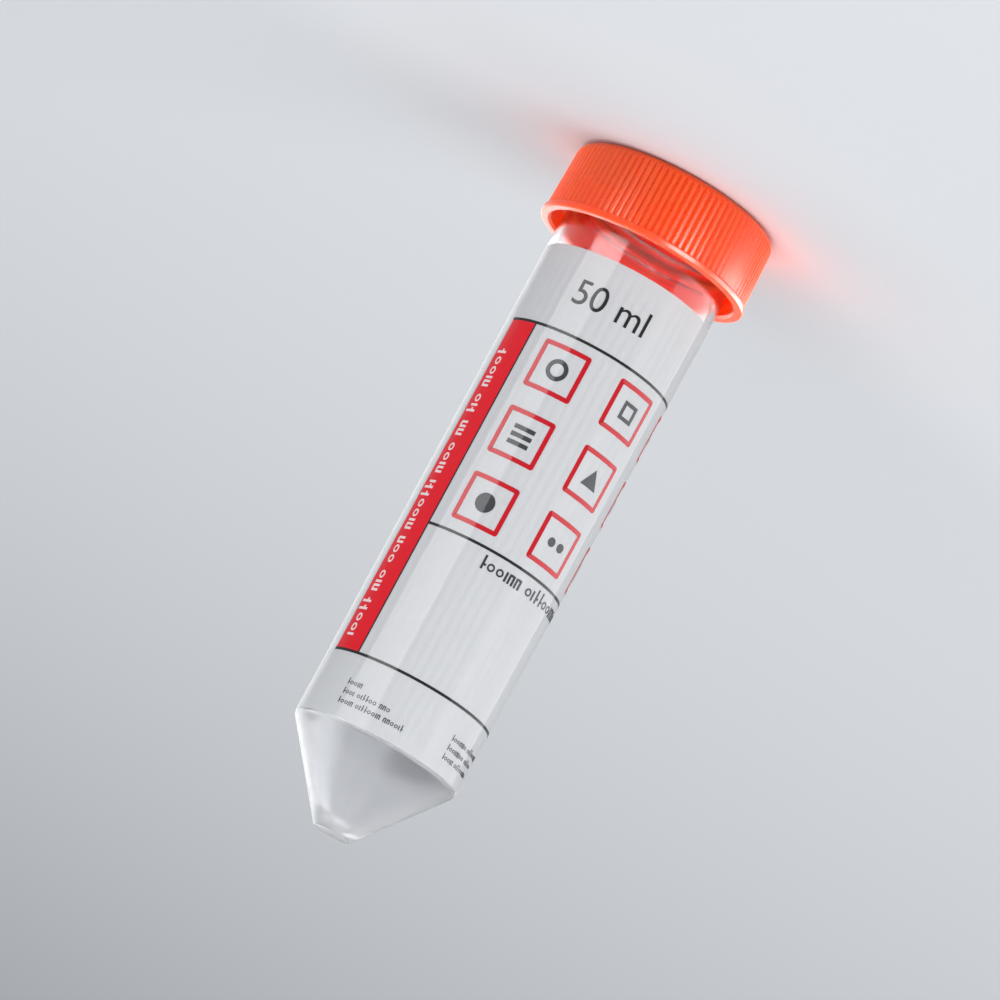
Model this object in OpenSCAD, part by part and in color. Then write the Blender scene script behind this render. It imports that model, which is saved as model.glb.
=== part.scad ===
// 50 ml conical tube, closed by a ribbed screw cap and standing on the cap.
// Z = 0 is the flat top of the cap, +Z runs to the tip of the cone. Millimetres.

/* [Body] */
// Height of the closed tube, from the cap's flat top to the tip of the cone
overall_h = 115.2; // [95:0.1:140]
// Outside diameter of the body at its mouth, without the label
body_d_mouth = 28.6; // [23:0.1:35]
// Outside diameter of the body at the shoulder of the cone, without the label
body_d_shoulder = 27.8; // [22:0.1:34]
// Height of the cone, from the shoulder to the flat tip
cone_h = 14; // [11:0.1:18]
// Diameter of the flat at the tip
tip_d = 6.2; // [4:0.1:9]
// Thickness of the body's wall
body_wall = 0.95; // [0.8:0.05:1.6]
// Thickness of the cone's wall, measured square to its face
cone_wall = 1.35; // [0.9:0.05:1.9]
// Radius of the blend from the body into the cone
shoulder_r = 1; // [0.5:0.1:2]
// Thickness of the floor between the bore and the flat tip
floor_t = 1.5; // [1:0.1:2.5]
// Radius that rounds the edges of the rim
rim_r = 0.35; // [0.1:0.05:0.5]

/* [Screw thread] */
// Number of separate ridges that start round the neck
thread_starts = 2; // [1:1:3]
// Rise of the thread in one full turn
thread_lead = 6; // [4.5:0.1:8]
// How far a ridge stands out of the wall that carries it
ridge_h = 1.3; // [0.8:0.05:1.8]
// Width of a ridge at its foot
ridge_foot_w = 1.3; // [0.9:0.05:1.8]
// Width of a ridge at its crest
ridge_crest_w = 0.5; // [0.3:0.05:0.8]
// Turn that one ridge covers round the neck, in degrees
neck_ridge_turn = 330; // [200:5:400]
// Turn that one ridge covers inside the cap, in degrees
cap_ridge_turn = 240; // [150:5:300]
// Gap between the crests of a thread and the wall that faces them
crest_gap = 0.45; // [0.25:0.05:0.8]
// Gap between the flanks that bear on each other when the cap is tight
flank_gap = 0.15; // [0.08:0.01:0.3]
// Clear height between the rim and the first ridge of the neck
rim_to_ridge = 1.6; // [1.2:0.1:2.5]

/* [Cap] */
// Height of the cap
cap_h = 12.7; // [11:0.1:16]
// Thickness of the cap's top plate
cap_top_t = 1.6; // [1.1:0.1:2.4]
// Wall of the skirt behind the ribs, at the mouth of the cap
skirt_wall = 1.05; // [0.9:0.05:1.6]
// How much the radius of the skirt drops from the mouth to the top
skirt_draft = 0.3; // [0:0.05:0.5]
// Radius of the rounded edge round the cap's top
top_edge_r = 1.9; // [1:0.1:2.5]
// Number of grooves that cut the grip into ribs
rib_count = 96; // [60:4:120]
// Depth of the grooves between the ribs
rib_depth = 0.35; // [0.2:0.05:0.5]
// Width of a groove at the crests of the ribs, as a share of the rib spacing
groove_share = 0.62; // [0.4:0.02:0.8]
// Height of the smooth flange round the mouth
flange_h = 1.15; // [0.8:0.05:1.8]
// How far the flange stands out from the ribs
flange_step = 0.36; // [0.2:0.02:0.6]
// Radius that rounds the flange's edges
flange_edge_r = 0.35; // [0.1:0.05:0.4]
// Width and height of the lead-in bevel inside the mouth
mouth_bevel = 0.4; // [0.2:0.05:0.6]

/* [Seal liner] */
// Thickness of the liner disc
liner_t = 1; // [0.6:0.1:1.6]
// Gap between the liner's edge and the skirt
liner_gap = 0.15; // [0.1:0.05:0.3]
// How far the bead that keeps the liner in the cap stands out of the skirt
bead_h = 0.35; // [0.2:0.05:0.45]
// Clear height between the liner and the bead
bead_gap = 0.1; // [0.05:0.05:0.3]

/* [Label] */
// Thickness of the printed film
label_t = 0.1; // [0.05:0.01:0.2]
// Bare band of tube between the cap and the label
label_to_cap = 4.8; // [2:0.1:8]
// Bare band of tube between the label and the shoulder's blend
label_to_cone = 0.1; // [0:0.1:3]
// Angle that the bare window at the back of the tube takes out of the label, in degrees
window_angle = 66; // [30:2:120]
// Direction of the window's middle, in degrees about Z from +X
window_at = 65; // [0:5:180]

/* [Hidden] */
$fn = 96;
eps = 0.01;
// A ridge's foot is sunk this far into its wall, so that its flat facets never leave the wall.
sink = 0.3;
// Sections of a ridge in a full turn, and how many of them its run-in and run-out take.
steps_per_turn = 36;
taper_steps = 4;
// Width of a ridge's foot at its ends, as a share of its full width.
end_foot_share = 0.4;
// Height that the grooves' cutters reach past the surfaces that they cut.
cutter_reach = 0.3;

mouth_r = body_d_mouth / 2;
shoulder_body_r = body_d_shoulder / 2;
tip_r = tip_d / 2;
rim_z = cap_top_t + liner_t;
shoulder_z = overall_h - cone_h;

// Radius of the body's outside at a height.
function body_r(z) = mouth_r + (shoulder_body_r - mouth_r) * (z - rim_z) / (shoulder_z - rim_z);

// The skirt's bore clears the neck's ridges, and the outside follows from its wall.
skirt_bore_r = mouth_r + ridge_h + crest_gap;
rib_root_r = skirt_bore_r + skirt_wall;
rib_crest_r = rib_root_r + rib_depth;
flange_r = rib_crest_r + flange_step;
rib_end_z = cap_h - flange_h;
rib_top_r = rib_crest_r - skirt_draft;
cap_ridge_crest_r = skirt_bore_r - ridge_h;

// The ridges of the neck and of the cap take turns along Z, and bear on each other.
neck_ridge_z = rim_z + rim_to_ridge + ridge_foot_w / 2;
// Width that both ridges have together where their flanks meet, halfway up the flanks' overlap.
overlap_h = ridge_h - crest_gap;
flank_slope = (ridge_foot_w - ridge_crest_w) / 2 / ridge_h;
meeting_w = 2 * (ridge_crest_w / 2 + flank_slope * overlap_h / 2);
cap_ridge_z = neck_ridge_z + meeting_w + flank_gap;

liner_r = skirt_bore_r - liner_gap;
// The bead is a ring of round section, sunk this far into the skirt.
bead_sunk = 0.25;
bead_r = bead_h + bead_sunk;
bead_x = skirt_bore_r + bead_r - bead_h;
bead_z = rim_z + bead_gap + sqrt(bead_r * bead_r - pow(bead_x - liner_r, 2));

label_z0 = cap_h + label_to_cap;
label_z1 = shoulder_z - label_to_cone - shoulder_r * tan(cone_turn() / 2);

// The bore's cone runs beside the outer one, and its apex lies this high.
bore_apex_z = shoulder_z + shoulder_body_r / tan(cone_turn()) - cone_wall / sin(cone_turn());
// A round floor closes the bore: it touches the bore's cone and leaves floor_t above the tip.
floor_r = (bore_apex_z - overall_h + floor_t) / (1 / sin(cone_turn()) - 1);
floor_centre_z = overall_h - floor_t - floor_r;

// Angle between the axis and the cone's side.
function cone_turn() = atan((shoulder_body_r - tip_r) / cone_h);

// A rectangle with rounded corners, drawn with true arcs.
module rounded_rect(size, r) {
    translate([r, 0]) square([size.x - 2 * r, size.y]);
    translate([0, r]) square([size.x, size.y - 2 * r]);
    for (x = [r, size.x - r], y = [r, size.y - r]) translate([x, y]) circle(r);
}

// Half outline of a cup: straight side, blend, straight cone and an end at end_z.
// The side runs from [side_r, z0] to the corner, the cone from the corner to [end_r, end_z].
module cone_outline(z0, side_r, corner, end_r, end_z, blend_r) {
    turn = atan((corner.x - end_r) / (end_z - corner.y));
    lean = atan((side_r - corner.x) / (corner.y - z0));
    back = blend_r * tan((turn - lean) / 2);
    side_end = corner + back * [sin(lean), -cos(lean)];
    cone_start = corner + back * [-sin(turn), cos(turn)];
    polygon([[0, z0], [side_r, z0], side_end, cone_start, [end_r, end_z], [0, end_z]]);
    translate(side_end - blend_r * [cos(lean), sin(lean)]) circle(blend_r);
}

// One helical ridge, from_r being the wall that carries it and to_r its crest.
module ridge(from_r, to_r, z0, turn, start_a) {
    n = round(turn / 360 * steps_per_turn);
    way = sign(to_r - from_r);
    function share(i) = min(1, i / taper_steps, (n - i) / taper_steps);
    function ring(i) = let (
        a = start_a + turn * i / n,
        z = z0 + thread_lead * turn * i / n / 360,
        s = share(i),
        foot_x = from_r - way * sink,
        crest_x = from_r - way * sink / 2 + s * (to_r - from_r + way * sink / 2),
        foot_share = end_foot_share + (1 - end_foot_share) * s,
        foot = (ridge_foot_w + 2 * flank_slope * sink) / 2 * foot_share,
        crest = ridge_crest_w / 2
    ) [for (p = [[foot_x, -foot], [crest_x, -crest], [crest_x, crest], [foot_x, foot]])
        [p.x * cos(a), p.x * sin(a), z + p.y]];
    points = [for (i = [0:n]) each ring(i)];
    sides = [for (i = [0:n - 1], k = [0:3]) let (
        p = 4 * i + k, q = 4 * i + (k + 1) % 4
    ) each [[p, q, q + 4], [p, q + 4, p + 4]]];
    ends = [[3, 2, 1, 0], [4 * n, 4 * n + 1, 4 * n + 2, 4 * n + 3]];
    faces = concat(sides, ends);
    polyhedron(points, way > 0 ? faces : [for (f = faces) [for (k = [len(f) - 1:-1:0]) f[k]]]);
}

// The ridges of one thread, spread evenly round the axis.
module thread(from_r, to_r, z0, turn) {
    for (i = [0:thread_starts - 1]) ridge(from_r, to_r, z0, turn, i * 360 / thread_starts);
}

// Clear body: drafted side, cone, flat tip, rounded rim and the neck's thread.
module tube() {
    inner_corner_r = shoulder_body_r - body_wall;
    inner_corner = [inner_corner_r, bore_apex_z - inner_corner_r / tan(cone_turn())];
    floor_start = [floor_r * cos(cone_turn()), floor_centre_z + floor_r * sin(cone_turn())];
    color([0.86, 0.88, 0.89, 0.45]) {
        rotate_extrude() difference() {
            cone_outline(rim_z, mouth_r, [shoulder_body_r, shoulder_z], tip_r, overall_h, shoulder_r);
            cone_outline(rim_z, mouth_r - body_wall, inner_corner, floor_start.x, floor_start.y, shoulder_r);
            intersection() {
                translate([0, floor_centre_z]) circle(floor_r);
                translate([0, floor_centre_z - floor_r]) square([floor_r, 2 * floor_r]);
            }
            // Rounds the rim's edges: the corners outside two true arcs go.
            translate([0, rim_z]) difference() {
                translate([mouth_r - body_wall - eps, -eps]) square([body_wall + 2 * eps, rim_r + eps]);
                translate([mouth_r - body_wall, 0]) rounded_rect([body_wall, 3 * rim_r], rim_r);
            }
        }
        thread(mouth_r, mouth_r + ridge_h, neck_ridge_z, neck_ridge_turn);
    }
}

// Screw cap: one moulded shell with grip ribs, a flange, a liner bead and its own thread.
module cap() {
    color([0.94, 0.3, 0.14]) {
        difference() {
            rotate_extrude() cap_profile();
            grip_grooves();
        }
        thread(skirt_bore_r, cap_ridge_crest_r, cap_ridge_z, cap_ridge_turn);
    }
}

// Half section of the cap before its ribs are cut.
module cap_profile() {
    difference() {
        union() {
            polygon([[0, 0], [rib_top_r - top_edge_r, 0], [rib_top_r - top_edge_r, top_edge_r],
                [rib_top_r, top_edge_r], [rib_crest_r, rib_end_z], [rib_crest_r, cap_h], [0, cap_h]]);
            translate([rib_top_r - top_edge_r, top_edge_r]) circle(top_edge_r);
            translate([skirt_bore_r, rib_end_z])
                rounded_rect([flange_r - skirt_bore_r, flange_h], flange_edge_r);
        }
        polygon([[-1, cap_top_t], [skirt_bore_r, cap_top_t], [skirt_bore_r, cap_h - mouth_bevel],
            [skirt_bore_r + 2 * mouth_bevel, cap_h + mouth_bevel], [-1, cap_h + mouth_bevel]]);
    }
    intersection() {
        translate([bead_x, bead_z]) circle(bead_r);
        translate([0, bead_z - bead_r]) square([skirt_bore_r + sink, 2 * bead_r]);
    }
}

// V grooves that lean with the skirt's draft and run out in the rounded top edge.
module grip_grooves() {
    spacing = 360 * rib_crest_r / rib_count * PI / 180;
    half_w = spacing * groove_share / 2;
    lean = atan(skirt_draft / (rib_end_z - top_edge_r));
    for (i = [0:rib_count - 1]) rotate(i * 360 / rib_count)
        translate([rib_crest_r, 0, rib_end_z]) rotate([0, lean, 0])
            translate([0, 0, -rib_end_z - cutter_reach]) linear_extrude(rib_end_z + cutter_reach)
                polygon([[-rib_depth, 0], [0, -half_w], [cutter_reach, -half_w],
                    [cutter_reach, half_w], [0, half_w]]);
}

// Floating disc between the cap's top plate and the tube's rim.
module seal_liner() {
    color([0.95, 0.95, 0.93]) translate([0, 0, cap_top_t]) cylinder(r = liner_r, h = liner_t);
}

// Printed film round the body, open along the window at the back.
module label() {
    color([0.93, 0.93, 0.94]) rotate(window_at + window_angle / 2)
        rotate_extrude(angle = 360 - window_angle)
            polygon([[body_r(label_z0), label_z0], [body_r(label_z0) + label_t, label_z0],
                [body_r(label_z1) + label_t, label_z1], [body_r(label_z1), label_z1]]);
}

cap();
seal_liner();
tube();
label();
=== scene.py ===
# %% [markdown]
# # A 50 ml conical tube, closed by its screw cap
#
# The shapes that fit and move come from a CAD model, which is loaded first, and those shapes
# stay as they are. Blender adds what a CAD model leaves out: how each plastic takes the light,
# and the print on the label. Every cell takes one step and prints what came of it, so the file
# can be read from the top like a notebook.

# %% Load the CAD model
import math

import bpy
from mathutils import Matrix, Vector


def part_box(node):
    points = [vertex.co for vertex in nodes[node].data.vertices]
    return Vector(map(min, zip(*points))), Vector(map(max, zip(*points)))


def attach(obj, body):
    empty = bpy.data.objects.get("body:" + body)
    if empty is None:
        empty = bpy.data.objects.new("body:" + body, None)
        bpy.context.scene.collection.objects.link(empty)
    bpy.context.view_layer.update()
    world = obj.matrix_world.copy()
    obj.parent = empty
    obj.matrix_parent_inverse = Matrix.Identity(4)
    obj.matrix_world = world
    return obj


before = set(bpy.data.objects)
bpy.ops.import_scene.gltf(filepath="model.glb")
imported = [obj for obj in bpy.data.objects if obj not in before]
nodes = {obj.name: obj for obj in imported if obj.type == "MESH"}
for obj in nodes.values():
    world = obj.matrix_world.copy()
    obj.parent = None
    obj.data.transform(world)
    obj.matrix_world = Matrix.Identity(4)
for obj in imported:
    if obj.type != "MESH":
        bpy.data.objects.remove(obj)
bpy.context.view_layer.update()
MM = 0.001

# %% [markdown]
# ## Measuring before making
#
# The closed tube stands upside down on its flat cap, so +Z runs from the cap to the tip of the
# cone, and the printed front faces -Y. Sizes that the CAD model knows are measured on it. The
# label's film is a very steep cone, so two radii, one at each end, describe it completely.


# %% Read the label's cone from the model
NEAR = 0.2 * MM


def radius_at(node, height):
    """How far a CAD node reaches from the axis near a height."""
    near = [v.co for v in nodes[node].data.vertices if abs(v.co.z - height) < NEAR]
    return max(math.hypot(point.x, point.y) for point in near)


class Cone:
    """A surface round the Z axis whose radius changes evenly with height."""

    def __init__(self, low, low_r, high, high_r):
        self.slope = (high_r - low_r) / (high - low)
        self.foot_r = low_r - self.slope * low

    def radius(self, height):
        return self.foot_r + self.slope * height


label_low, label_high = (corner.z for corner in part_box("label"))
film = Cone(label_low, radius_at("label", label_low), label_high, radius_at("label", label_high))
print(f"film radius {film.radius(label_low) / MM:.2f} to {film.radius(label_high) / MM:.2f} mm")

# %% [markdown]
# ## The camera
#
# A long lens from over a metre away keeps the two ends of the tube almost the same size. The
# camera looks a little down on the tube's cone. It hangs upside down and is rolled, so the cap
# ends up at the top right of the view. A roll could be a third turning angle, but it is easier
# to follow as three axes: where the view's right, its up and the direction back to the camera
# point.

# %% Place the camera
CAMERA_RISE = math.radians(11.71)
CAMERA_ROLL = math.radians(28.53)
CAMERA_DISTANCE = 1.2073
CAMERA_LENS = 279.8
CAMERA_AIM_HEIGHT = 57.2 * MM
CAMERA_AIM_RIGHT = -1.2 * MM
CAMERA_AIM_UP = 1.46 * MM
FAR_ENOUGH = 50

back = Vector((0, -math.cos(CAMERA_RISE), math.sin(CAMERA_RISE)))
level = Vector((-1, 0, 0))
upright = back.cross(level)
view_right = math.cos(CAMERA_ROLL) * level + math.sin(CAMERA_ROLL) * upright
view_up = math.cos(CAMERA_ROLL) * upright - math.sin(CAMERA_ROLL) * level
aim = Vector((0, 0, CAMERA_AIM_HEIGHT))
aim += CAMERA_AIM_RIGHT * view_right + CAMERA_AIM_UP * view_up

camera_data = bpy.data.cameras.new("camera")
camera_data.lens = CAMERA_LENS
camera_data.clip_end = FAR_ENOUGH
camera = bpy.data.objects.new("camera", camera_data)
bpy.context.scene.collection.objects.link(camera)
turn = Matrix((view_right, view_up, back)).transposed()
camera.matrix_world = Matrix.Translation(aim + CAMERA_DISTANCE * back) @ turn.to_4x4()
bpy.context.scene.camera = camera
print("camera at", [round(c, 3) for c in camera.location])

# %% [markdown]
# ## Writing shader maths like ordinary maths
#
# A material's pattern is a graph of nodes, and a graph is slow to read as code. The class below
# wraps one output socket. Python's + and * on it add the matching Math nodes, so a pattern
# reads as a formula. Every other kind of node comes from the one method `node`, which sets the
# node's options first and its inputs after that.


# %% A socket that understands arithmetic
class Wave:
    """An output socket of a node tree that can be added to and multiplied."""

    def __init__(self, tree, socket=None):
        self.tree = tree
        self.socket = socket

    def node(self, kind, options=None, inputs=None, output=0):
        """Adds a node of any kind and gives one of its outputs."""
        new = self.tree.nodes.new(kind)
        for name, value in (options or {}).items():
            setattr(new, name, value)
        for name, value in (inputs or {}).items():
            feed(self.tree, new.inputs[name], value)
        return Wave(self.tree, new.outputs[output])

    def maths(self, operation, first, second):
        return self.node("ShaderNodeMath", {"operation": operation}, {0: first, 1: second})

    def __add__(self, other):
        return self.maths("ADD", self, other)

    def __mul__(self, other):
        return self.maths("MULTIPLY", self, other)

    __radd__ = __add__
    __rmul__ = __mul__


def feed(tree, socket, value):
    """Links a Wave to an input socket, or sets the socket to a plain value."""
    if isinstance(value, Wave):
        tree.links.new(value.socket, socket)
    else:
        socket.default_value = value


print("shader helpers ready")

# %% [markdown]
# ## Colours and finishes
#
# Colours are easier to judge as the numbers of a screen, from 0 to 255, but a shader counts
# light, so `screen` turns one into the other. `finish` starts a material with its constant
# settings on the shader's own sockets, and `dress` gives a CAD node its material, in place of
# the plain one that it was loaded with.


# %% Start a material
def screen(red, green, blue):
    """A linear colour from screen values between 0 and 255."""
    def light(value):
        share = value / 255
        return share / 12.92 if share <= 0.04045 else ((share + 0.055) / 1.055) ** 2.4
    return (light(red), light(green), light(blue), 1)


def finish(name, **sockets):
    """A new material, its Principled shader and a Wave to build its pattern with."""
    material = bpy.data.materials.new(name)
    material.use_nodes = True
    shader = material.node_tree.nodes["Principled BSDF"]
    for socket, value in sockets.items():
        shader.inputs[socket.replace("_", " ")].default_value = value
    return material, shader, Wave(material.node_tree)


def dress(node, material):
    """Gives a CAD node's object a new material."""
    nodes[node].data.materials.clear()
    nodes[node].data.materials.append(material)
    print(f"{node}: {material.name}")


print(f"a middle grey of 128 on a screen is {screen(128, 128, 128)[0]:.3f} of the light of white")

# %% [markdown]
# ## Patterns
#
# No moulded thing has quite the same colour or the same smoothness all over. Painted textures
# could show that, but noise that is worked out at each point has no seams and any sharpness.
# Patterns read Object coordinates: every piece keeps its object at the origin, so one pattern
# runs on over neighbouring pieces. `tint` lets a colour drift, and `relief` tilts the surface
# a little with a Bump node, as a dent would.


# %% Patterns for a finish
def object_place(wave):
    """Object coordinates: where a point of the surface is, in metres from the origin."""
    return wave.node("ShaderNodeTexCoord", output="Object")


def noise(wave, scale, detail=2.0):
    """Soft noise on Object coordinates; the scale is in patches to a metre."""
    settings = {"Vector": object_place(wave), "Scale": scale, "Detail": detail}
    return wave.node("ShaderNodeTexNoise", inputs=settings)


def tint(wave, shader, share, dark, light):
    """Lets Base Color drift between two colours as share goes from 0 to 1."""
    # A colour Mix takes its factor at input 0 and its colours at 6 and 7, and gives output 2.
    mixed = wave.node("ShaderNodeMix", {"data_type": "RGBA"}, {0: share, 6: dark, 7: light}, 2)
    feed(wave.tree, shader.inputs["Base Color"], mixed)


def relief(wave, shader, height, depth, strength=1.0):
    """Bumps the surface by a height pattern; depth is in metres."""
    inputs = {"Height": height, "Distance": depth, "Strength": strength}
    feed(wave.tree, shader.inputs["Normal"], wave.node("ShaderNodeBump", inputs=inputs))


print("a pattern's scale is in patches to a metre: 3200 is", round(1000 / 3200, 2), "mm each")

# %% [markdown]
# ## The cap's orange plastic
#
# The cap is moulded polyethylene. It is waxy: light enters, scatters through the thin skirt and
# leaves again, which is why the inside of the skirt glows. A brighter flat colour could fake
# that, but only from one side, so Subsurface scattering does it. Red light travels furthest in
# the plastic, and its radius says so. The surface has the very fine grain of an eroded mould,
# and a broad drift of colour.


# %% Dress the cap
def cap_plastic():
    material, shader, wave = finish(
        "cap_plastic", IOR=1.5, Subsurface_Weight=1.0,
        Subsurface_Scale=4 * MM, Subsurface_Radius=(1.0, 0.2, 0.06))
    drift = noise(wave, scale=90, detail=3)
    tint(wave, shader, drift, dark=screen(252, 74, 16), light=screen(255, 88, 26))
    grain = noise(wave, scale=3200, detail=2)
    feed(wave.tree, shader.inputs["Roughness"], 0.26 + 0.04 * grain)
    relief(wave, shader, grain, depth=0.005 * MM)
    return material


dress("cap", cap_plastic())

# %% [markdown]
# ## The liner
#
# A pale disc of closed-cell foam seals the rim. It is hidden while the cap is on, and comes
# into view when the tube is unscrewed. Real foam has a skin pitted by its cells, too small to
# model one by one, so a Voronoi pattern, whose cells are what foam looks like, feeds a bump.


# %% Dress the liner
def liner_foam():
    material, shader, wave = finish("liner_foam", Roughness=0.75)
    cells = wave.node("ShaderNodeTexVoronoi", inputs={"Vector": object_place(wave), "Scale": 2600})
    tint(wave, shader, noise(wave, scale=300),
         dark=screen(232, 231, 224), light=screen(243, 242, 237))
    relief(wave, shader, cells, depth=0.03 * MM, strength=0.6)
    return material


dress("seal_liner", liner_foam())

# %% [markdown]
# ## The clear body
#
# Polypropylene is never as clear as glass. Near the neck most light goes straight through and
# bends, which is Transmission. Towards the cone the plastic turns milky: Roughness blurs what
# is seen through it, and a share of Translucent lets the wall glow with the light behind it.
# Both grow with the height. Two materials would need a border somewhere, so a Map Range turns
# the height into a share from 0 to 1 instead. A very shallow ripple keeps the refraction from
# looking computed.


# %% Dress the body
CLEAR_TO = 20 * MM
FROSTED_FROM = 95 * MM


def translucent(material, colour, share):
    """Lets part of the light that falls on a material through to its far side."""
    tree = material.node_tree
    wave = Wave(tree)
    through = wave.node("ShaderNodeBsdfTranslucent", inputs={"Color": colour})
    front = Wave(tree, tree.nodes["Principled BSDF"].outputs[0])
    mixed = wave.node("ShaderNodeMixShader", inputs={0: share, 1: front, 2: through})
    feed(tree, tree.nodes["Material Output"].inputs["Surface"], mixed)
    return material


def clear_plastic():
    material, shader, wave = finish(
        "clear_plastic", Base_Color=screen(248, 249, 250), IOR=1.49,
        Transmission_Weight=1.0, Specular_Tint=(0.6, 0.6, 0.6, 1))
    height = wave.node("ShaderNodeSeparateXYZ", inputs={0: object_place(wave)}, output=2)
    frosted = wave.node("ShaderNodeMapRange", inputs={
        "Value": height, "From Min": CLEAR_TO, "From Max": FROSTED_FROM})
    feed(wave.tree, shader.inputs["Roughness"], 0.09 + 0.09 * frosted)
    relief(wave, shader, noise(wave, scale=160, detail=1), depth=0.05 * MM, strength=0.5)
    return translucent(material, screen(240, 240, 243), share=0.3 * frosted)


dress("tube", clear_plastic())

# %% [markdown]
# ## Film and inks
#
# The label is a white film with a glossy clear face, and the inks lie under that face. So film
# and inks share one gloss: a coat over a smooth layer, with the same faint waves. Only the
# colour below differs. Because every piece reads the same Object coordinates, a reflection
# crosses from the film to the ink without a step. The film alone is thin enough to let some
# light out of the tube, so it is made translucent too.


# %% One gloss for the film and its inks
def glossy(name, dark, light):
    material, shader, wave = finish(
        name, Roughness=0.5, Coat_Weight=0.4, Coat_Roughness=0.03, Coat_IOR=1.45,
        Specular_IOR_Level=0.05)
    tint(wave, shader, noise(wave, scale=700, detail=3), dark, light)
    relief(wave, shader, noise(wave, scale=110, detail=1), depth=0.03 * MM, strength=0.4)
    return material


film_white = translucent(glossy("label_film", screen(227, 228, 230), screen(231, 232, 234)),
                         screen(240, 240, 240), share=0.3)
ink_black = glossy("ink_black", screen(26, 25, 28), screen(38, 37, 40))
ink_dark = glossy("ink_dark", screen(52, 52, 56), screen(64, 64, 68))
ink_grey = glossy("ink_grey", screen(78, 78, 82), screen(92, 92, 96))
ink_red = glossy("ink_red", screen(222, 4, 26), screen(232, 12, 36))
ink_deep_red = glossy("ink_deep_red", screen(190, 4, 24), screen(200, 12, 34))
ink_white = glossy("ink_white", screen(236, 214, 216), screen(246, 226, 228))
dress("label", film_white)

# %% [markdown]
# ## Modelling with operators
#
# New pieces are modelled as by hand: add a primitive, go into edit mode, change it, leave. An
# operator works on whatever is selected, and the CAD nodes are selected after loading, so the
# first helpers clear the selection or set it to one piece. `edit` runs a list of edit-mode
# steps on the whole mesh, each a pair of an operator and its settings.


# %% Helpers for modelling
def nothing_selected():
    bpy.ops.object.select_all(action="DESELECT")


def choose(piece):
    """Selects one piece and nothing else, so that the next operator works on it alone."""
    nothing_selected()
    piece.select_set(True)
    bpy.context.view_layer.objects.active = piece


def edit(*steps):
    """Runs edit-mode operators, each with the whole active mesh selected."""
    bpy.ops.object.mode_set(mode="EDIT")
    for operator, settings in steps:
        bpy.ops.mesh.select_all(action="SELECT")
        operator(**settings)
    bpy.ops.object.mode_set(mode="OBJECT")


print("ready to model, with nothing selected by chance")

# %% [markdown]
# ## Drawing flat, then wrapping
#
# Print is easy to draw on a flat sheet and hard to draw on a curved one. So each shape is made
# flat, in a sheet where x runs along the label and y goes up as a reader sees it, and is
# wrapped round the tube at the end. An angle from the front becomes a distance along the sheet
# once, in `along`. The heights are those of the model, so up on the sheet is minus Z.


# %% Flat shapes
SHEET_CENTRE = (0, 0, 0)
ROUNDING_STEPS = 4


def along(degrees):
    """Distance on the flat sheet of an angle from the front, positive to a reader's right."""
    return math.radians(degrees) * film.foot_r


def moved(x, y):
    """An edit step that moves the mesh on the sheet."""
    return (bpy.ops.transform.translate, {"value": (x, y, 0)})


def flat(kind, x, z, width, height, **settings):
    """Adds a flat primitive of unit size, scales it and puts its centre at x and height z."""
    nothing_selected()
    kind(location=SHEET_CENTRE, **settings)
    edit((bpy.ops.transform.resize,
          {"value": (width, height, 1), "center_override": SHEET_CENTRE}), moved(x, -z))
    return bpy.context.object


def bar(x, z, width, height, rounding=0.0):
    """A rectangle, with its corners rounded by a bevel."""
    shape = flat(bpy.ops.mesh.primitive_plane_add, x, z, width, height, size=1)
    if rounding:
        edit((bpy.ops.mesh.bevel, {"offset": rounding, "segments": ROUNDING_STEPS,
                                   "affect": "VERTICES", "clamp_overlap": True}))
    return shape


print(f"one degree is {along(1) / MM:.3f} mm on the sheet")

# %% [markdown]
# ## One mesh with its place inside
#
# A field of print is one piece, so its shapes are joined. The pattern of a material, and the
# export too, take a piece's object to be at the origin. So a place or a turn is applied: it
# moves from the object into the mesh. A modifier is applied as soon as it is added, so the
# next step works on real vertices.


# %% Join shapes and apply places
def join(pieces, name):
    """Makes one mesh of several and gives it a name."""
    choose(pieces[0])
    for piece in pieces[1:]:
        piece.select_set(True)
    if len(pieces) > 1:
        bpy.ops.object.join()
    pieces[0].name = pieces[0].data.name = name
    return pieces[0]


def apply_place(piece):
    """Moves an object's place into its mesh, so the object sits at the origin."""
    choose(piece)
    bpy.ops.object.transform_apply(location=True, rotation=True, scale=True)


def apply_modifier(piece, kind, **settings):
    """Adds a modifier and applies it at once."""
    modifier = piece.modifiers.new(kind.lower(), kind)
    for name, value in settings.items():
        setattr(modifier, name, value)
    bpy.context.view_layer.objects.active = piece
    bpy.ops.object.modifier_apply(modifier=modifier.name)


print("ready to join and apply")

# %% [markdown]
# ## Wrapping
#
# Simple Deform's Bend rolls a flat sheet into a cylinder, but only at the vertices that the
# sheet has, so it is sliced into narrow strips first. Taper then narrows the cylinder into the
# film's cone, and Solidify gives the ink a thickness. Part of that is sunk in the film, so no
# edge floats. A Shrinkwrap modifier could lay the print on the film too, but it would pull
# print out of shape at the film's edges, and a bend by numbers does that nowhere.


# %% Wrap a sheet round the tube
INK_PROUD = 0.03 * MM
INK_SUNK = 0.03 * MM
SLICE = 0.7 * MM


def slice_sheet(piece):
    """Cuts a flat piece across at even steps, so that it can bend."""
    reach = [piece.matrix_world @ Vector(corner) for corner in piece.bound_box]
    first = math.ceil(min(p.x for p in reach) / SLICE)
    last = math.floor(max(p.x for p in reach) / SLICE)
    cuts = [(bpy.ops.mesh.bisect, {"plane_co": (k * SLICE, 0, 0), "plane_no": (1, 0, 0)})
            for k in range(first, last + 1)]
    edit(*cuts)


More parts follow.
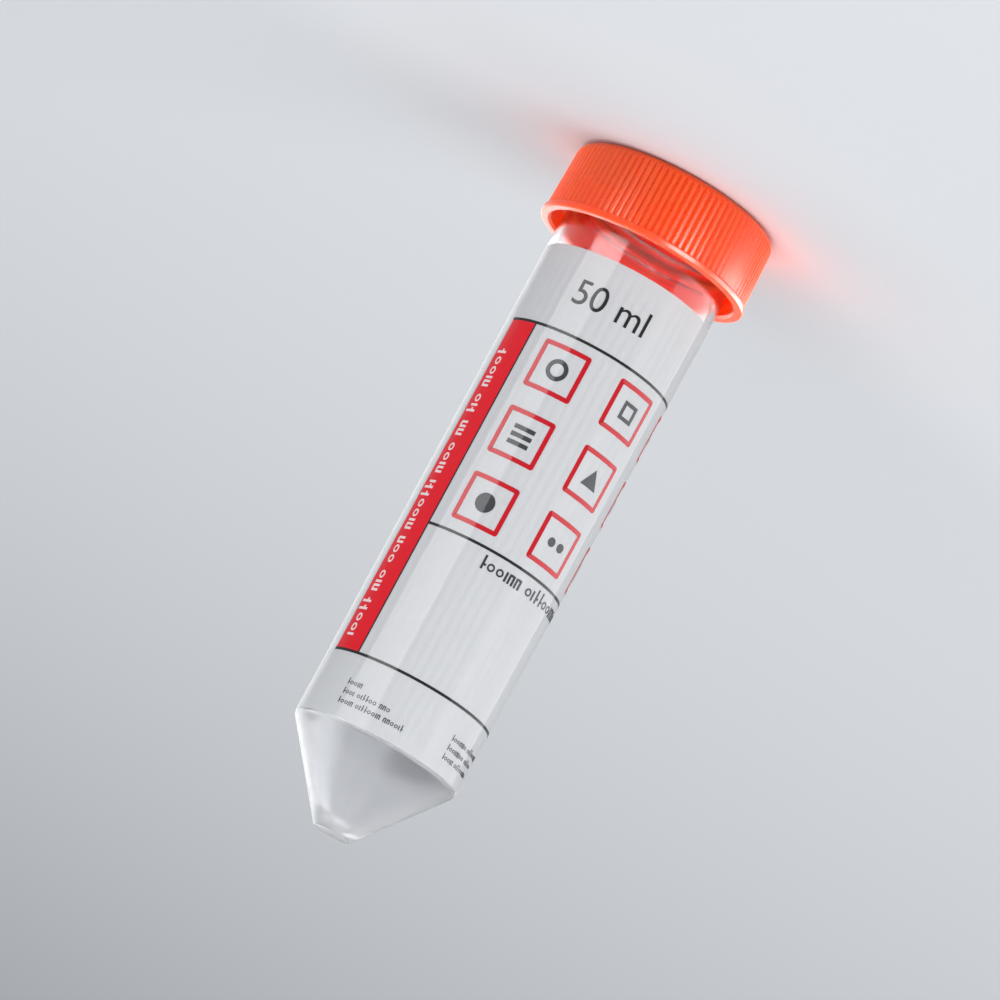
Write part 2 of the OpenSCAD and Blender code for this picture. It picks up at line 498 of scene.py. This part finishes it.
def wrap(piece, surface, turn, proud):
    """Stands a flat sheet up, bends it round the axis and leans it with the surface."""
    apply_place(piece)
    slice_sheet(piece)
    piece.rotation_euler = (math.pi / 2, math.pi, 0)
    apply_place(piece)
    radius = surface.foot_r + proud
    apply_modifier(piece, "SIMPLE_DEFORM", deform_method="BEND", deform_axis="Z",
                   angle=piece.dimensions.x / radius)
    piece.location.y = -radius
    apply_place(piece)
    apply_modifier(piece, "SIMPLE_DEFORM", deform_method="TAPER", deform_axis="Z",
                   factor=surface.slope / radius * piece.dimensions.z)
    apply_modifier(piece, "SOLIDIFY", thickness=proud + INK_SUNK, offset=-1)
    piece.rotation_euler.z = turn
    apply_place(piece)


print(f"sheets are cut every {SLICE / MM:.1f} mm, which is {SLICE / along(1):.1f} degrees")

# %% [markdown]
# ## From shapes to a printed piece
#
# Everything printed goes the same way: joined, wrapped, coloured, and fixed to the body that
# moves it. The print turns with the tube when the cap is unscrewed, so it rides on the bottle.


# %% Print on the tube
SMOOTH_BELOW = math.radians(30)


def print_on(shapes, name, material, surface=film, turn=0.0, proud=INK_PROUD):
    """Joins flat shapes, wraps them, colours them and fixes them to the tube's body."""
    piece = join(shapes, name)
    wrap(piece, surface, turn, proud)
    piece.data.materials.clear()
    piece.data.materials.append(material)
    bpy.ops.object.shade_smooth_by_angle(angle=SMOOTH_BELOW)
    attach(piece, "bottle")
    print(f"{piece.name}: {len(piece.data.polygons)} faces")


print(f"ink stands {INK_PROUD / MM:.2f} mm proud of the film")

# %% [markdown]
# ## The rules
#
# Three thin black rules run round the label and divide it into fields. The red strip's right
# edge is a rule too, standing up. Each is one plane, scaled: a bevelled edge or a curve would
# show no more at half a millimetre.

# %% Print the rules
RULE_STROKE = 0.45 * MM
UPRIGHT_STROKE = 0.6 * RULE_STROKE
TOP_RULE, MIDDLE_RULE, END_RULE = 31.2 * MM, 67.0 * MM, 90.2 * MM
STRIP_LEFT, STRIP_RIGHT = along(-69), along(-43.8)
RULE_END = along(166)


def rule(z, start, end):
    return bar((start + end) / 2, z, end - start, RULE_STROKE)


strip_x = (STRIP_LEFT + STRIP_RIGHT) / 2
strip_z = (TOP_RULE + END_RULE) / 2
strip_width = STRIP_RIGHT - STRIP_LEFT
strip_height = END_RULE - TOP_RULE
print_on([rule(TOP_RULE, STRIP_LEFT, RULE_END), rule(MIDDLE_RULE, STRIP_RIGHT, RULE_END),
          rule(END_RULE, STRIP_LEFT, RULE_END),
          bar(STRIP_RIGHT, strip_z, UPRIGHT_STROKE, strip_height)], "label_rules", ink_black)

# %% [markdown]
# ## The red strip
#
# A field of solid red joins the first rule to the last. It could be painted into the film's
# material by height and angle, but its edge would then be only as sharp as the texture that
# the material is baked to on export. As a piece it stays sharp. It stops at the edges of the
# rules, so that no two inks lie in the same place and flicker.

# %% Print the strip
print_on([bar(strip_x, strip_z, strip_width - UPRIGHT_STROKE, strip_height - RULE_STROKE)],
         "label_strip", ink_red)

# %% [markdown]
# ## The volume in large figures
#
# Text is a curve until it is converted. Its letters are filled outlines, so it joins the other
# flat shapes, and is sliced and wrapped as they are. A text's size counts the room that a line
# needs, so the height wanted is divided by the share of it that a figure fills.


# %% Print the volume
DIGIT_SHARE = 0.72


def words(text, x, z, height):
    """Flat letters of a given height; x is their left end, z their middle line."""
    nothing_selected()
    bpy.ops.object.text_add(location=(0, 0, 0))
    letters = bpy.context.object
    letters.data.body = text
    letters.data.align_y = "CENTER"
    letters.data.size = height / DIGIT_SHARE
    letters.location = (x, -z, 0)
    bpy.ops.object.convert(target="MESH")
    return bpy.context.object


VOLUME_FROM, VOLUME_AT, VOLUME_HEIGHT = along(-30), 24.4 * MM, 4.3 * MM
print_on([words("50 ml", VOLUME_FROM, VOLUME_AT, VOLUME_HEIGHT)], "label_volume", ink_black)

# %% [markdown]
# ## Nine tick boxes
#
# Red outlined boxes in three columns and three rows each hold one plain dark sign, for a user
# to tick. An outline could be a curve with a thickness, but a plane that is inset, with its
# middle deleted, keeps its corners round at an even width, and is flat already.

# %% Print the boxes
BOX_SIDE, BOX_STROKE, BOX_ROUNDING = 8.25 * MM, 0.76 * MM, 0.5 * MM
BOX_COLUMNS = [along(-14.6), along(40.4), along(95.4)]
BOX_ROWS = [37.1 * MM, 49.0 * MM, 60.8 * MM]


def hollow(shape, stroke):
    """Turns a filled shape into its outline: insets it and deletes the middle."""
    choose(shape)
    bpy.ops.object.mode_set(mode="EDIT")
    bpy.ops.mesh.select_all(action="SELECT")
    bpy.ops.mesh.inset(thickness=stroke)
    bpy.ops.mesh.delete(type="FACE")
    bpy.ops.object.mode_set(mode="OBJECT")
    return shape


places = [(x, z) for x in BOX_COLUMNS for z in BOX_ROWS]
print_on([hollow(bar(x, z, BOX_SIDE, BOX_SIDE, BOX_ROUNDING), BOX_STROKE) for x, z in places],
         "tick_boxes", ink_deep_red)

# %% [markdown]
# ## The signs in the boxes
#
# A sign is a disc, a ring, a polygon or a few bars, and its measures are shares of one size.
# Each is a small function of a place, so the list below reads as the label does: down the
# first column, then the second, then the third. The cross is three bars and not two, so that
# no face lies on another.

# %% Print the signs
SIGN = 3.6 * MM
DISC_SIDES = 40


def disc(x, z, diameter, sides=DISC_SIDES):
    """A disc, or with few sides a polygon."""
    return flat(bpy.ops.mesh.primitive_circle_add, x, z, diameter, diameter,
                radius=0.5, vertices=sides, fill_type="NGON")


def three_bars(x, z):
    return [bar(x, z + shift * SIGN, SIGN, 0.2 * SIGN) for shift in (-0.36, 0, 0.36)]


def two_dots(x, z):
    return [disc(x + shift * SIGN, z, 0.42 * SIGN) for shift in (-0.3, 0.3)]


def cross(x, z):
    return [bar(x, z, SIGN, 0.28 * SIGN), bar(x, z - 0.32 * SIGN, 0.28 * SIGN, 0.36 * SIGN),
            bar(x, z + 0.32 * SIGN, 0.28 * SIGN, 0.36 * SIGN)]


SIGNS = [
    lambda x, z: [hollow(disc(x, z, SIGN), 0.2 * SIGN)],
    three_bars,
    lambda x, z: [disc(x, z, 0.9 * SIGN)],
    lambda x, z: [hollow(bar(x, z, 0.85 * SIGN, 0.85 * SIGN), 0.17 * SIGN)],
    lambda x, z: [disc(x, z + 0.12 * SIGN, 1.15 * SIGN, sides=3)],
    two_dots,
    cross,
    lambda x, z: [disc(x, z, SIGN, sides=6)],
    lambda x, z: [hollow(disc(x, z, SIGN), 0.14 * SIGN), disc(x, z, 0.36 * SIGN)],
]
print_on([shape for sign, place in zip(SIGNS, places) for shape in sign(*place)],
         "tick_signs", ink_dark)

# %% [markdown]
# ## Small print
#
# Nothing on this tube is meant to be read at this size, so the small print only has the look
# of words. Real letters would cost hundreds of faces each. Four simple marks, a stroke, a
# ring, an arch and a tall stroke, are taken from a fixed order, every third of it in turn, each
# with its own pace, as the letters of a line have. Each word starts one place further on in the
# order, so words differ.


# %% Marks for small print
STROKE, RING, ARCH, TALL = range(4)
MARK_ORDER = (TALL, RING, ARCH, RING, STROKE, ARCH, RING, TALL, RING, STROKE)
MARK_SKIP = 3
MARK_PACE = {STROKE: 0.42, RING: 1.0, ARCH: 0.82, TALL: 0.75}
WORD_GAP = 0.6
RING_SIDES = 14


def mark(kind, height):
    """One mark at the middle of the sheet; every number is a share of the height."""
    pen = 0.23 * height
    if kind == STROKE:
        return [bar(0, 0, pen, height)]
    if kind == RING:
        return [hollow(disc(0, 0, 0.8 * height, RING_SIDES), 0.75 * pen)]
    if kind == ARCH:
        legs = [bar(side * 0.22 * height, 0, pen, height) for side in (-1, 1)]
        return legs + [bar(0, -0.42 * height, 0.28 * height, pen)]
    return [bar(0, -0.2 * height, pen, 1.4 * height), bar(0.2 * height, 0, 0.25 * height, pen)]


print(f"{len(MARK_PACE)} kinds of mark, repeated every {len(MARK_ORDER)}")

# %% [markdown]
# ## Lines of it
#
# The line moves on by half a mark's pace before the mark and by the other half after it, as
# wide and narrow letters do in type. A line can also run up the tube: every mark is then given
# a quarter turn first. A turn in edit mode needs the point to turn about, because Blender
# ignores its pivot setting when it runs without a window.


# %% Set a line
def turned(angle):
    """An edit step that turns the mesh about the middle of the sheet."""
    return (bpy.ops.transform.rotate,
            {"value": angle, "orient_axis": "Z", "center_override": SHEET_CENTRE})


def line_of_print(x, z, word_lengths, height, upright=False):
    """A row of marks with gaps between the words, along the label or up the tube."""
    drawn = []
    at = 0.0
    for word, length in enumerate(word_lengths):
        for count in range(length):
            kind = MARK_ORDER[(count * MARK_SKIP + word) % len(MARK_ORDER)]
            half = 0.5 * MARK_PACE[kind] * height
            at += half
            steps = (turned(-math.pi / 2), moved(x, -z - at)) if upright else (moved(x + at, -z),)
            for shape in mark(kind, height):
                choose(shape)
                edit(*steps)
                drawn.append(shape)
            at += half
        at += WORD_GAP * height
    return drawn


print(f"words stand {WORD_GAP} of the height apart")

# %% [markdown]
# ## Heading and footers
#
# One larger heading names the field under the middle rule, and two short columns of the
# smallest print stand at the end of the label. Each footer row is given as the lengths of its
# words, left column first.

# %% Print the small lines
HEADING_FROM, HEADING_AT, HEADING_HEIGHT = along(0), 69.4 * MM, 1.65 * MM
HEADING_WORDS = (6, 11)
FOOTER_COLUMNS = [along(-40), along(41)]
FOOTER_AT, FOOTER_STEP, FOOTER_HEIGHT = 94.9 * MM, 1.6 * MM, 0.75 * MM
FOOTER_WORDS = [((5,), (7, 9)), ((4, 6, 3), (8, 6)), ((5, 8, 6), (5, 10))]
print_on(line_of_print(HEADING_FROM, HEADING_AT, HEADING_WORDS, HEADING_HEIGHT),
         "label_heading", ink_dark)
footers = []
for row, columns in enumerate(FOOTER_WORDS):
    z = FOOTER_AT + row * FOOTER_STEP
    for x, lengths in zip(FOOTER_COLUMNS, columns):
        footers += line_of_print(x, z, lengths, FOOTER_HEIGHT)
print_on(footers, "label_small_print", ink_grey)

# %% [markdown]
# ## Marks on the strip
#
# A line of white marks runs up the red strip. It is the same line of print, turned. White ink
# is printed over the red, so it stands a little further out: two faces at the same distance
# would flicker through each other.

# %% Print the strip's marks
OVERPRINT_PROUD = 0.045 * MM
STRIP_LINE_AT, STRIP_LINE_FROM, STRIP_LINE_HEIGHT = along(-60), 36.5 * MM, 1.75 * MM
STRIP_WORDS = (5, 3, 2, 4, 7, 3, 3, 5)
print_on(line_of_print(STRIP_LINE_AT, STRIP_LINE_FROM, STRIP_WORDS, STRIP_LINE_HEIGHT,
                       upright=True),
         "strip_marks", ink_white, proud=OVERPRINT_PROUD)

# %% [markdown]
# ## Where the graduations belong
#
# The label leaves a bare window at the back of the tube, where black graduations are printed on
# the plastic. The window is the widest gap between the angles of the label's own vertices.
# Ticks at even steps would be wrong near the cone, so the heights are worked out: rays from
# the axis feel how wide the bore is, slice by slice from the tip, and a tick is due each time
# enough volume has gone by.

# %% Measure the window and the bore
FILM_THICKNESS = 0.1 * MM
SLICE_HEIGHT = 0.05 * MM
ML = 1e-6
ML_STEP = 2.5
body = Cone(label_low, film.radius(label_low) - FILM_THICKNESS,
            label_high, film.radius(label_high) - FILM_THICKNESS)
angles = sorted(math.atan2(v.co.y, v.co.x) for v in nodes["label"].data.vertices)
gaps = [(after - before, (after + before) / 2) for before, after in zip(angles, angles[1:])]
window_width, window_at = max(gaps)
print(f"window {math.degrees(window_width):.0f} degrees wide at {math.degrees(window_at):.0f}")

bpy.context.view_layer.update()


def feel(start, direction):
    """Where a ray inside the bore meets the plastic."""
    found, place, _, _ = nodes["tube"].ray_cast(Vector(start), Vector(direction))
    return place if found else None


bore_end = feel((0, 0, label_high), (0, 0, 1))
bore_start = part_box("tube")[0].z
heights, filled = {}, 0.0
slices = int((bore_end.z - bore_start) / SLICE_HEIGHT) if bore_end else 0
for k in range(1, slices):
    z = bore_end.z - k * SLICE_HEIGHT
    before = filled
    filled += math.pi * feel((0, 0, z), (1, 0, 0)).x ** 2 * SLICE_HEIGHT / ML
    if filled // ML_STEP > before // ML_STEP:
        heights[ML_STEP * (filled // ML_STEP)] = z
print(f"the bore holds {filled:.1f} ml;", {ml: round(z / MM, 1) for ml, z in heights.items()})

# %% [markdown]
# ## The graduations
#
# Every second tick is long and has its volume beside it. They are bars and text like the
# label's, wrapped round the body's own cone and turned to the window. The scale ends at the
# nominal volume, and leaves out a tick that would run onto the rounding of the shoulder.

# %% Print the graduations
NOMINAL_ML, FIGURE_EVERY = 50, 5
TICK_STROKE, LONG_TICK, SHORT_TICK = 0.35 * MM, 6.0 * MM, 3.6 * MM
TICKS_FROM, FIGURES_FROM, FIGURE_HEIGHT = -5.5 * MM, 1.6 * MM, 2.3 * MM
SHOULDER_ROOM = 2 * MM
ticks, figures = [], []
for volume, z in heights.items():
    if volume > NOMINAL_ML or z > label_high - SHOULDER_ROOM:
        continue
    whole = volume % FIGURE_EVERY == 0
    length = LONG_TICK if whole else SHORT_TICK
    ticks.append(bar(TICKS_FROM + length / 2, z, length, TICK_STROKE))
    if whole:
        figures.append(words(f"{volume:.0f}", FIGURES_FROM, z, FIGURE_HEIGHT))
print_on(ticks + figures, "graduations", ink_black, body, window_at + math.pi / 2)

# %% [markdown]
# ## The floor
#
# The tube stands on a plain pale floor, which isn't part of it. A large plane in one colour
# lets the horizon stay out of sight. It is kept matt, so that it takes a soft shadow and
# mirrors nothing.

# %% Lay the floor
FLOOR_SIZE = 12
nothing_selected()
bpy.ops.mesh.primitive_plane_add(size=FLOOR_SIZE)
floor = bpy.context.object
floor.name = "floor"
floor_paint, _, _ = finish("floor_paint", Base_Color=screen(216, 219, 223), Roughness=0.7,
                           Specular_IOR_Level=0.1)
floor.data.materials.append(floor_paint)
print(f"a floor {FLOOR_SIZE} m wide")

# %% [markdown]
# ## Two jobs for a lamp
#
# A glossy thing is shown by two sorts of light: light that falls on it, which should be large
# and soft, and shapes that it mirrors, which draw its form. One lamp that does both is a
# compromise, so each lamp here has a job. "light" hides it from reflections, "mirror" hides
# it from matt surfaces, and "both" leaves it alone. Its power is worked out from how bright its
# face is, so a lamp can change size without changing what it looks like in a reflection.


# %% A lamp with a job
def softbox(name, job, azimuth, distance, height, size, brightness, aim_height, receivers=None):
    """A rectangular lamp facing the axis. Azimuth 0 is the camera's side, + a reader's right."""
    angle = math.radians(azimuth)
    place = Vector((-math.sin(angle) * distance, -math.cos(angle) * distance, height))
    light = bpy.data.lights.new(name, "AREA")
    light.shape = "RECTANGLE"
    light.size, light.size_y = size
    light.energy = brightness * math.pi * size[0] * size[1]
    lamp = bpy.data.objects.new(name, light)
    lamp.location = place
    lamp.rotation_euler = (Vector((0, 0, aim_height)) - place).to_track_quat("-Z", "Y").to_euler()
    lamp.visible_camera = False
    lamp.visible_glossy = job != "light"
    lamp.visible_diffuse = job != "mirror"
    bpy.context.scene.collection.objects.link(lamp)
    if receivers:
        lamp.light_linking.receiver_collection = receivers
    print(f"{name}: {light.energy:.3f} W, {job}")
    return lamp


print("a lamp's job is light, mirror or both")

# %% [markdown]
# ## Which pieces a lamp reaches
#
# In a studio, a card held between a lamp and the table keeps the lamp off the table. Blender
# has light linking for it: a collection, set on the lamp, holds the pieces that it reaches or
# the pieces that it leaves out. Three groups are enough here.


# %% Make the groups
def chosen_pieces(name, pieces, state):
    """A collection that tells a lamp which pieces it lights, or which it leaves out."""
    chosen = bpy.data.collections.new(name)
    for piece in pieces:
        chosen.objects.link(piece)
    for entry in chosen.collection_objects:
        entry.light_linking.link_state = state
    return chosen


no_floor = chosen_pieces("no_floor", [floor], "EXCLUDE")
no_floor_no_cap = chosen_pieces("no_floor_no_cap", [floor, nodes["cap"]], "EXCLUDE")
cap_only = chosen_pieces("cap_only", [nodes["cap"]], "INCLUDE")
print("groups:", no_floor.name, no_floor_no_cap.name, cap_only.name)

# %% [markdown]
# ## Light for the whole tube
#
# Two wide lamps in front and one above light everything evenly. The two in front are kept out
# of reflections, because narrower panels, below, draw those.

# %% Place the studio lamps
# Name, job, azimuth in degrees, distance, height, size, brightness and the height to aim at.
softbox("key", "light", -25, 1.3, 0.55, (1.0, 0.9), 2.8, 0.05)
softbox("fill", "light", 60, 1.3, 0.55, (1.0, 0.9), 2.8, 0.05)
softbox("overhead", "both", 0, 0.01, 1.5, (1.2, 1.2), 2.6, 0.0)

# %% [markdown]
# ## Light for the cap
#
# The cap's colour is deep, and its ribs need light from the side to show. More light on
# everything would bleach the label, so these lamps reach the cap alone. The two behind it make
# the far side of the skirt glow through the clear band. The sheen and the glint are only
# mirrored, in the crests of the ribs, and stand close to the cap: from further away the floor
# would hide them in the mirror.

# %% Place the cap's lamps
softbox("cap_front", "light", 10, 0.5, 0.2, (0.3, 0.2), 3.0, 0.006, cap_only)
softbox("cap_flank", "both", 118, 0.3, 0.031, (0.2, 0.06), 14.0, 0.031, cap_only)
softbox("cap_far_right", "light", 140, 0.4, 0.16, (0.3, 0.2), 12.0, 0.006, cap_only)
softbox("cap_far_left", "light", 220, 0.4, 0.16, (0.3, 0.2), 12.0, 0.006, cap_only)
softbox("cap_sheen", "mirror", 27, 0.05, 0.014, (0.026, 0.026), 20.0, 0.012, cap_only)
softbox("cap_glint", "mirror", 95, 0.045, 0.016, (0.06, 0.03), 9.0, 0.016, cap_only)

# %% [markdown]
# ## Panels for the tube to mirror
#
# Upright white panels beside the tube give it its long, straight reflections, as strip lamps
# do in a studio. They stand close, because the camera looks down and the tube's mirror image
# of anything further off would be of the floor. The floor is left out of what they light, or
# their feet would draw edges on it. The two side panels leave out the cap as well, which has
# lamps of its own. The right one is also hidden from rays that pass through clear plastic, or
# it would show as a white patch through the neck.

# %% Place the panels
PANELS = [("left_panel", -44, 0.07, 0.051, 0.092, 8.0, no_floor_no_cap),
          ("right_panel", 84, 0.062, 0.09, 0.092, 4.0, no_floor_no_cap),
          ("rim_panel", -152, 0.07, 0.05, 0.15, 2.0, no_floor)]
for name, azimuth, distance, width, tall, brightness, receivers in PANELS:
    panel = softbox(name, "mirror", azimuth, distance, tall / 2, (width, tall), brightness,
                    tall / 2, receivers)
    panel.visible_transmission = name != "right_panel"

# %% [markdown]
# ## The room
#
# The world lights the tube a little from all sides. What is seen of it directly, in a mirror
# or through the clear plastic, should be paler than that, like a studio's walls. Light Path
# tells the two apart: its outputs are 1 for a ray of their kind, and their sum, held to 1,
# raises the world's strength for the rays that see it.

# %% Light the room
ROOM_LIGHT, ROOM_SEEN = 0.35, 0.65
world = bpy.data.worlds.new("room")
bpy.context.scene.world = world
world.use_nodes = True
room = Wave(world.node_tree)
sight = [room.node("ShaderNodeLightPath", output=f"Is {kind} Ray")
         for kind in ("Camera", "Glossy", "Transmission")]
seen = room.maths("MINIMUM", sight[0] + sight[1] + sight[2], 1.0)
background = world.node_tree.nodes["Background"]
background.inputs["Color"].default_value = (0.96, 0.98, 1, 1)
feed(world.node_tree, background.inputs["Strength"], ROOM_LIGHT + (ROOM_SEEN - ROOM_LIGHT) * seen)
bpy.context.scene.view_settings.view_transform = "Standard"
print(f"the room lights with {ROOM_LIGHT} and is seen at {ROOM_SEEN}")
